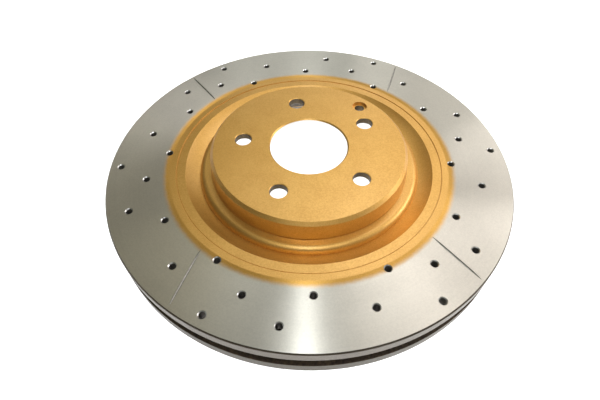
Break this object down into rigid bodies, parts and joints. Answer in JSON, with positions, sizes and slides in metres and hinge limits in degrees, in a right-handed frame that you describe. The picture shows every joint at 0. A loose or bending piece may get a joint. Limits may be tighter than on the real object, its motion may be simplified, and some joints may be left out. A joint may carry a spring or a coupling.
{
  "type": "brake disc",
  "caption": "Ventilated car brake disc, drilled and slotted, with a coated hat that bolts between hub and wheel.",
  "frame": {"origin": "centre of the inboard friction face, on the disc's axis", "axes": "+Z along the disc's axis from the inboard face towards the wheel; +X and +Y lie in the friction face"},
  "size_m": [0.34, 0.34, 0.0462],
  "materials": {
    "machined_iron": "fine turned grey iron with a circular grain",
    "gold_coating": "satin gold metallic coating",
    "raw_casting": "rough dark brown sand-cast skin"
  },
  "bodies": {
    "root": {"mounting_flange": "gold_coating", "hat_wall": "gold_coating", "neck": "gold_coating", "trough": "gold_coating", "outboard_friction_ring": "machined_iron", "inboard_friction_ring": "machined_iron", "cooling_vane_01": "raw_casting", "cooling_vane_02": "raw_casting", "cooling_vane_03": "raw_casting", "cooling_vane_04": "raw_casting", "cooling_vane_05": "raw_casting", "cooling_vane_06": "raw_casting", "cooling_vane_07": "raw_casting", "cooling_vane_08": "raw_casting", "cooling_vane_09": "raw_casting", "cooling_vane_10": "raw_casting", "cooling_vane_11": "raw_casting", "cooling_vane_12": "raw_casting", "cooling_vane_13": "raw_casting", "cooling_vane_14": "raw_casting", "cooling_vane_15": "raw_casting", "cooling_vane_16": "raw_casting", "cooling_vane_17": "raw_casting", "cooling_vane_18": "raw_casting", "cooling_vane_19": "raw_casting", "cooling_vane_20": "raw_casting", "cooling_vane_21": "raw_casting", "cooling_vane_22": "raw_casting", "cooling_vane_23": "raw_casting", "cooling_vane_24": "raw_casting", "cooling_vane_25": "raw_casting", "cooling_vane_26": "raw_casting", "cooling_vane_27": "raw_casting", "cooling_vane_28": "raw_casting", "cooling_vane_29": "raw_casting", "cooling_vane_30": "raw_casting", "cooling_vane_31": "raw_casting", "cooling_vane_32": "raw_casting", "cooling_vane_33": "raw_casting", "cooling_vane_34": "raw_casting", "cooling_vane_35": "raw_casting", "cooling_vane_36": "raw_casting", "cooling_vane_37": "raw_casting", "cooling_vane_38": "raw_casting", "cooling_vane_39": "raw_casting", "cooling_vane_40": "raw_casting", "cooling_vane_41": "raw_casting", "cooling_vane_42": "raw_casting"}
  },
  "joints": []
}
